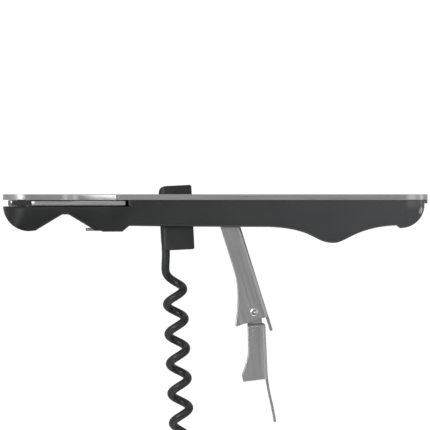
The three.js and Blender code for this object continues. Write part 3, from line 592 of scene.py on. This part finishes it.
# Screws: four small countersunk steel screws hold the spine down and two longer ones draw the
# casing halves together from the far side, all with a hexagon socket and set flush.
def screw_blank(name, radius, head_radius, length):
    """One countersunk screw about Z with its flat top at zero."""
    sides, key_flats, blunt_share = 48, 6, 0.4
    socket_radius, socket_depth = 0.00055, 0.0005
    half_flat = math.pi / key_flats
    sink = head_radius - radius
    rings = [
        (socket_radius, -socket_depth, key_flats),
        (socket_radius, 0, key_flats),
        (head_radius - broken_edge, 0, sides),
        (head_radius, -broken_edge, sides),
        (radius, -sink - broken_edge, sides),
        (radius, -length + radius, sides),
        (radius * blunt_share, -length, sides),
    ]
    work = bmesh.new()
    loops = []
    for ring_radius, level, count in rings:
        loop = []
        for i in range(sides):
            angle = 2 * math.pi * i / sides
            reach = ring_radius
            if count == key_flats:
                off_middle = angle % (2 * half_flat) - half_flat
                reach *= math.cos(half_flat) / math.cos(off_middle)
            loop.append(work.verts.new((reach * math.cos(angle), reach * math.sin(angle), level)))
        loops.append(loop)
    for upper, lower in zip(loops, loops[1:]):
        for i in range(sides):
            j = (i + 1) % sides
            work.faces.new((upper[i], lower[i], lower[j], upper[j]))
    work.faces.new(loops[0])
    work.faces.new(loops[-1][::-1])
    bmesh.ops.recalc_face_normals(work, faces=work.faces[:])
    mesh = bpy.data.meshes.new(name)
    work.to_mesh(mesh)
    work.free()
    return mesh


def grown(draft, tree, values):
    """A plain mesh of what a node tree makes on a draft, given the tree's inputs by name."""
    modifier = draft.modifiers.new(tree.name, "NODES")
    modifier.node_group = tree
    for item in tree.interface.items_tree:
        if item.in_out == "INPUT" and item.name in values:
            modifier[item.identifier] = values[item.name]
    mesh = evaluated(draft)
    bpy.data.objects.remove(draft)
    return mesh


def screws_by_nodes(name, blank, places, turn, material):
    """Screw copies on given points by Geometry Nodes, turned to a plain mesh."""
    points = bpy.data.meshes.new(name + "_places")
    points.from_pydata(places, [], [])
    on_points = placed(name + "_places", points)
    model = placed(name + "_blank", blank)
    tree = bpy.data.node_groups.new(name, "GeometryNodeTree")
    for label, kind in (
        ("Geometry", "NodeSocketGeometry"),
        ("Screw", "NodeSocketObject"),
        ("Turn", "NodeSocketRotation"),
        ("Finish", "NodeSocketMaterial"),
    ):
        tree.interface.new_socket(label, in_out="INPUT", socket_type=kind)
    tree.interface.new_socket("Geometry", in_out="OUTPUT", socket_type="NodeSocketGeometry")
    start = tree.nodes.new("NodeGroupInput")
    end = tree.nodes.new("NodeGroupOutput")
    source = tree.nodes.new("GeometryNodeObjectInfo")
    copies = tree.nodes.new("GeometryNodeInstanceOnPoints")
    plain = tree.nodes.new("GeometryNodeRealizeInstances")
    paint = tree.nodes.new("GeometryNodeSetMaterial")
    tree.links.new(start.outputs["Screw"], source.inputs["Object"])
    tree.links.new(start.outputs["Geometry"], copies.inputs["Points"])
    tree.links.new(source.outputs["Geometry"], copies.inputs["Instance"])
    tree.links.new(start.outputs["Turn"], copies.inputs["Rotation"])
    tree.links.new(copies.outputs["Instances"], plain.inputs["Geometry"])
    tree.links.new(plain.outputs["Geometry"], paint.inputs["Geometry"])
    tree.links.new(start.outputs["Finish"], paint.inputs["Material"])
    tree.links.new(paint.outputs["Geometry"], end.inputs["Geometry"])
    mesh = grown(on_points, tree, {"Screw": model, "Turn": turn, "Finish": material})
    bpy.data.objects.remove(model)
    return mesh


def even(radius):
    """The same rounding for every edge of a piece, in metres."""
    return lambda middle, normals: radius


pin_steel = brushed_steel(
    "bright_pin_steel",
    dark=(0.55, 0.55, 0.55),
    light=(0.68, 0.68, 0.68),
    rough=(0.16, 0.26),
    frequency=(2400, 2400, 2400),
    bump=0.0000015,
)
screw_sets = {
    "spine_screws": {
        "nodes": ["bridge_screw_near", "bridge_screw_far", "tail_screw_near", "tail_screw_far"],
        "size": {"radius": 0.0008, "head_radius": 0.0015, "length": 0.0064},
        "turn": (-math.pi / 2, 0, 0),
    },
    "cross_screws": {
        "nodes": ["nose_screw", "lump_screw"],
        "size": {"radius": 0.001, "head_radius": 0.0019, "length": 0.013},
        "turn": (math.pi, 0, 0),
    },
}
sunk = 1e-6
for set_name, screw_set in screw_sets.items():
    places = []
    for node in screw_set["nodes"]:
        low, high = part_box(node)
        middle = (low + high) / 2
        if set_name == "spine_screws":
            places.append(Vector((middle.x, high.y, middle.z)) + Vector((0, -sunk, 0)))
        else:
            places.append(Vector((middle.x, middle.y, low.z)) + Vector((0, 0, sunk)))
    blank = screw_blank(set_name, **screw_set["size"])
    mesh = screws_by_nodes(set_name, blank, places, screw_set["turn"], pin_steel)
    finished(
        set_name,
        mesh,
        even(0),
        body="handle",
        stands_for=screw_set["nodes"],
        material=pin_steel,
        crease=30,
    )


# Opener tooth: a small pressed steel angle held in the split of the casing, its lip cut into
# fine points that bite under a cap's rim.
tooth_steel = brushed_steel(
    "pressed_tooth_steel",
    dark=(0.36, 0.365, 0.37),
    light=(0.5, 0.5, 0.51),
    rough=(0.3, 0.42),
    frequency=(1800, 1800, 1800),
    bump=0.000003,
)
tooth_edge = 0.00008
finished(
    "cap_tooth",
    welded("opener_tooth"),
    even(tooth_edge),
    body="handle",
    stands_for=["opener_tooth"],
    material=tooth_steel,
    steps=2,
    crease=40,
)


# Knife post and washers: a turned steel pin riveted flush in the spine carries the knife
# between two thin nylon washers.
post_edge, slip_edge = 0.00005, 0.00003
finished(
    "knife_pin",
    welded("knife_post"),
    even(post_edge),
    body="handle",
    stands_for=["knife_post"],
    material=pin_steel,
    steps=2,
    crease=30,
)
washer_nylon = moulded_plastic(
    "natural_nylon",
    dark=(0.6, 0.58, 0.53),
    light=(0.7, 0.68, 0.63),
    rough=(0.45, 0.55),
    bump=0.000003,
)
for level in ("bottom", "top"):
    finished(
        f"knife_slip_{level}",
        welded(f"knife_washer_{level}"),
        even(slip_edge),
        body="handle",
        stands_for=[f"knife_washer_{level}"],
        material=washer_nylon,
        steps=2,
        crease=40,
    )


# Foil knife: a blanked and ground steel blade with a satin face and a straight back that lies in
# the slot under the spine. Its squared tang is polished, its colour darkened as painted shade
# where it lies deep in the slot, and it has a small shoulder to the blade.
knife_steel = brushed_steel(
    "ground_knife_steel",
    dark=(0.66, 0.665, 0.66),
    light=(0.78, 0.785, 0.78),
    rough=(0.24, 0.34),
    frequency=(60, 3000, 3000),
    bump=0.000003,
)
tang_end, tang_fade = -0.0606, 0.0002
steel_tree = knife_steel.node_tree
steel = steel_tree.nodes["Principled BSDF"]
knife_place = steel_tree.nodes.new("ShaderNodeTexCoord")
knife_parts = steel_tree.nodes.new("ShaderNodeSeparateXYZ")
steel_tree.links.new(knife_place.outputs["Object"], knife_parts.inputs["Vector"])
on_blade = ranged(steel_tree, knife_parts.outputs["X"], tang_end, tang_end + tang_fade)
# Painted shade: the tang's base colour is darkened where it lies deep in the slot; its low
# roughness is a real polish.
for socket, kind, tang_polish_and_shade in (
    ("Base Color", "RGBA", (0.26, 0.262, 0.26, 1)),
    ("Roughness", "FLOAT", 0.1),
):
    satin = steel.inputs[socket].links[0].from_socket
    blend = mixed(steel_tree, kind, on_blade, tang_polish_and_shade, satin)
    steel_tree.links.new(blend, steel.inputs[socket])
tip_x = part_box("foil_knife")[1].x
tip_reach, tip_radius = 0.0001, 0.00012


def knife_radius(middle, normals):
    """The blunt tip is rounded a little more than the other edges, which are only broken."""
    return tip_radius if middle.x > tip_x - tip_reach else broken_edge


finished(
    "foil_blade",
    welded("foil_knife"),
    knife_radius,
    body="knife",
    stands_for=["foil_knife"],
    material=knife_steel,
    steps=2,
    crease=40,
)


# Axles and their washers: two bright steel pins lie blind in the casing walls, each with a thin
# nylon washer at both sides of what turns on it.
axle_edge, axle_slip_edge = 0.0001, 0.00004
for axle, label in (("carrier", "worm_arm"), ("lever", "lever_arm")):
    finished(
        f"{label}_pin",
        welded(f"{axle}_axle"),
        even(axle_edge),
        body="handle",
        stands_for=[f"{axle}_axle"],
        material=pin_steel,
        steps=2,
        crease=30,
    )
    for side in ("near", "far"):
        finished(
            f"{label}_slip_{side}",
            welded(f"{axle}_washer_{side}"),
            even(axle_slip_edge),
            body="handle",
            stands_for=[f"{axle}_washer_{side}"],
            material=washer_nylon,
            steps=2,
            crease=30,
        )


# Worm carrier: a glass-filled black moulding that turns on its own axle, stands up through the
# spine as a thumb tab and holds the worm's shank in a deep bore.
carrier_plastic = moulded_plastic(
    "black_carrier_nylon",
    dark=(0.014, 0.0155, 0.015),
    light=(0.02, 0.022, 0.0213),
    rough=(0.36, 0.48),
    bump=0.000006,
)
carrier_edge = 0.00022
finished(
    "worm_holder",
    welded("worm_carrier"),
    even(carrier_edge),
    body="worm_arm",
    stands_for=["worm_carrier"],
    material=carrier_plastic,
)


# Worm: round steel wire wound into an open right-handed coil, ground to a point and coated
# dark so that it slips into the cork. Its straight shank sits fast in the carrier's bore.
worm_sizes = {
    "Wire": 0.00268,
    "Coil": 0.00566,
    "Pitch": 0.00981,
    "Axis Offset": 0.00152,
    "Shank Offset": 0.00382,
    "Start": 0.0033,
    "Shank End": 0.0124,
    "Bend": 0.0075,
    "First Turn": 0.0204,
    "Reach": 0.07559,
    "Taper": 0.0072,
    "Point": 0.00012,
}
worm_tilt = math.radians(2.85)


def worm_tree():
    """The worm's middle line, wound below its shank, and the wire that follows it to its point."""
    steps_along, steps_round = 620, 28
    tree = bpy.data.node_groups.new("wound_worm", "GeometryNodeTree")
    for label in worm_sizes:
        tree.interface.new_socket(label, in_out="INPUT", socket_type="NodeSocketFloat")
    tree.interface.new_socket("Finish", in_out="INPUT", socket_type="NodeSocketMaterial")
    tree.interface.new_socket("Geometry", in_out="OUTPUT", socket_type="NodeSocketGeometry")
    start = tree.nodes.new("NodeGroupInput")
    end = tree.nodes.new("NodeGroupOutput")
    size = start.outputs

    def plus(first, second):
        return maths(tree, "ADD", first, second)

    def minus(first, second):
        return maths(tree, "SUBTRACT", first, second)

    def times(first, second):
        return maths(tree, "MULTIPLY", first, second)

    def over(first, second):
        return maths(tree, "DIVIDE", first, second)

    def kept_within(value, most):
        return maths(tree, "MINIMUM", maths(tree, "MAXIMUM", value, 0.0), most)

    line = tree.nodes.new("GeometryNodeCurvePrimitiveLine")
    fine = tree.nodes.new("GeometryNodeResampleCurve")
    fine.inputs["Count"].default_value = steps_along
    tree.links.new(line.outputs["Curve"], fine.inputs["Curve"])
    share = tree.nodes.new("GeometryNodeSplineParameter").outputs["Factor"]
    drop = ranged(tree, share, 0.0, 1.0, size["Start"], size["Reach"])
    # The turning eases in over the bend and then goes on evenly
    past = minus(drop, minus(size["First Turn"], times(size["Bend"], 0.5)))
    turning = kept_within(past, size["Bend"])
    eased = over(times(turning, turning), times(size["Bend"], 2.0))
    along = plus(eased, maths(tree, "MAXIMUM", minus(past, size["Bend"]), 0.0))
    angle = plus(over(times(along, math.tau), size["Pitch"]), math.pi)
    inset = minus(size["Shank Offset"], size["Axis Offset"])
    full = times(size["Coil"], 0.5)
    winding = (size["Shank End"], size["First Turn"])
    radius = ranged(tree, drop, *winding, inset, full, "SMOOTHSTEP")
    place = tree.nodes.new("ShaderNodeCombineXYZ")
    across = times(radius, maths(tree, "COSINE", angle))
    feed(tree, place.inputs["X"], minus(across, size["Axis Offset"]))
    feed(tree, place.inputs["Y"], times(drop, -1.0))
    feed(tree, place.inputs["Z"], times(radius, maths(tree, "SINE", angle)))
    bent = tree.nodes.new("GeometryNodeSetPosition")
    tree.links.new(fine.outputs["Curve"], bent.inputs["Geometry"])
    tree.links.new(place.outputs["Vector"], bent.inputs["Position"])
    # The last stretch thins down to the point
    thin = kept_within(over(minus(size["Reach"], drop), size["Taper"]), 1.0)
    swell = maths(tree, "SINE", times(thin, math.pi / 2))
    above_point = minus(times(size["Wire"], 0.5), size["Point"])
    thick = plus(size["Point"], times(above_point, swell))
    round_wire = tree.nodes.new("GeometryNodeCurvePrimitiveCircle")
    round_wire.inputs["Resolution"].default_value = steps_round
    round_wire.inputs["Radius"].default_value = 1
    sweep_wire = tree.nodes.new("GeometryNodeCurveToMesh")
    sweep_wire.inputs["Fill Caps"].default_value = True
    tree.links.new(bent.outputs["Geometry"], sweep_wire.inputs["Curve"])
    tree.links.new(round_wire.outputs["Curve"], sweep_wire.inputs["Profile Curve"])
    tree.links.new(thick, sweep_wire.inputs["Scale"])
    plain = tree.nodes.new("GeometryNodeRealizeInstances")
    paint = tree.nodes.new("GeometryNodeSetMaterial")
    tree.links.new(sweep_wire.outputs["Mesh"], plain.inputs["Geometry"])
    tree.links.new(plain.outputs["Geometry"], paint.inputs["Geometry"])
    tree.links.new(size["Finish"], paint.inputs["Material"])
    tree.links.new(paint.outputs["Geometry"], end.inputs["Geometry"])
    return tree


worm_coat = moulded_plastic(
    "dark_worm_coat",
    dark=(0.014, 0.0155, 0.015),
    light=(0.026, 0.0275, 0.027),
    rough=(0.34, 0.46),
    bump=0.000005,
)
worm_seed = placed("worm_seed", bpy.data.meshes.new("worm_seed"))
worm_mesh = grown(worm_seed, worm_tree(), {**worm_sizes, "Finish": worm_coat})
low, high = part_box("carrier_axle")
carrier_centre = Vector(((low.x + high.x) / 2, (low.y + high.y) / 2, mid_plane))
worm_mesh.transform(Matrix.Translation(carrier_centre) @ Matrix.Rotation(worm_tilt, 4, "Z"))
worm_wire = placed("worm_wire", worm_mesh)
worm_mesh.polygons.foreach_set("use_smooth", [True] * len(worm_mesh.polygons))
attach(worm_wire, "worm_arm")
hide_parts("worm")


# Upper lever: satin steel sheet folded into a channel that turns on the lever axle. The folds
# are round, the cut edges only broken, and a tongue left at the foot stops the lower lever.
low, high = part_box("lever_axle")
lever_centre = Vector(((low.x + high.x) / 2, (low.y + high.y) / 2, mid_plane))
rolled_edge, rolled_from, rolled_below = 0.0003, 0.0058, 0.0042
cheek_facing, open_facing = 0.95, -0.75
low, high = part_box("lever_rivet_near")
rivet_centre = (low + high) / 2
shoulder_corner = Vector((0.0161, -0.0367, 0))
kept_sharp = ((lever_centre, 0.0018), (rivet_centre, 0.0018), (shoulder_corner, 0.0007))


def lever_radius(middle, normals):
    """Cut edges are only broken, but the cheeks' long edges on the open side are rolled over."""
    on_cheek = any(abs(normal.z) > cheek_facing for normal in normals)
    on_open_side = any(normal.x < open_facing for normal in normals)
    outer_rim = abs(middle.z - mid_plane) > rolled_from
    outside = outer_rim and middle.y < lever_centre.y - rolled_below
    if any((middle.xy - centre.xy).length < reach for centre, reach in kept_sharp):
        return 0
    return rolled_edge if on_cheek and on_open_side and outside else broken_edge


def lever_steel(name, angle):
    """Satin steel brushed along a lever that hangs at an angle, in degrees."""
    return brushed_steel(
        name,
        dark=(0.475, 0.475, 0.475),
        light=(0.535, 0.535, 0.535),
        rough=(0.28, 0.4),
        frequency=(2600, 55, 2600),
        bump=0.0000022,
        turn=-math.radians(angle),
    )


finished(
    "upper_lever_channel",
    welded("upper_lever"),
    lever_radius,
    body="upper_arm",
    stands_for=["upper_lever"],
    material=lever_steel("satin_lever_steel", 17.4),
    steps=4,
    crease=40,
)


# Lever rivets: bright turned rivets that pin the lower lever in the upper one, spread from
# outside so that a shallow cup is left in the middle of each head.
def rivet_mesh(name, centre, side):
    """One rivet turned about Z, from the cup in its head out to its rim and in to its shank."""
    profile = [
        (0.0, 0.00645),
        (0.00022, 0.006455),
        (0.00036, 0.0065),
        (0.0005, 0.006525),
        (0.00066, 0.006517),
        (0.00082, 0.006492),
        (0.00098, 0.00645),
        (0.00114, 0.00639),
        (0.00128, 0.00631),
        (0.00137, 0.00624),
        (0.0014, 0.0062),
        (0.0008, 0.0062),
        (0.0008, 0.0045),
        (0.0, 0.0045),
    ]
    sides, same_corner = 64, 1e-8
    corners = []
    for radius, height in profile:
        for i in range(sides):
            angle = math.tau * i / sides
            corners.append(
                (
                    centre.x + radius * math.cos(angle),
                    centre.y + radius * math.sin(angle),
                    mid_plane + side * height,
                )
            )
    faces = []
    for ring in range(len(profile) - 1):
        for i in range(sides):
            j = (i + 1) % sides
            a, b = ring * sides, (ring + 1) * sides
            faces.append((a + i, a + j, b + j, b + i))
    work = bmesh.new()
    draft = bpy.data.meshes.new(name)
    draft.from_pydata(corners, [], faces)
    work.from_mesh(draft)
    bmesh.ops.remove_doubles(work, verts=work.verts[:], dist=same_corner)
    bmesh.ops.recalc_face_normals(work, faces=work.faces[:])
    work.to_mesh(draft)
    work.free()
    return draft


for side, sign in (("near", 1), ("far", -1)):
    low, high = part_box(f"lever_rivet_{side}")
    finished(
        f"lever_joint_rivet_{side}",
        rivet_mesh(f"rivet_{side}", (low + high) / 2, sign),
        even(0),
        body="upper_arm",
        stands_for=[f"lever_rivet_{side}"],
        material=pin_steel,
        crease=40,
    )


# Lower lever: the same satin sheet folded narrower at its neck, so that it nests between the
# upper lever's cheeks, with a sprung tongue to pull it out by.
finished(
    "lower_lever_channel",
    welded("lower_lever"),
    lever_radius,
    body="lower_arm",
    stands_for=["lower_lever"],
    material=lever_steel("satin_lower_lever_steel", 2.7),
    steps=4,
    crease=40,
)
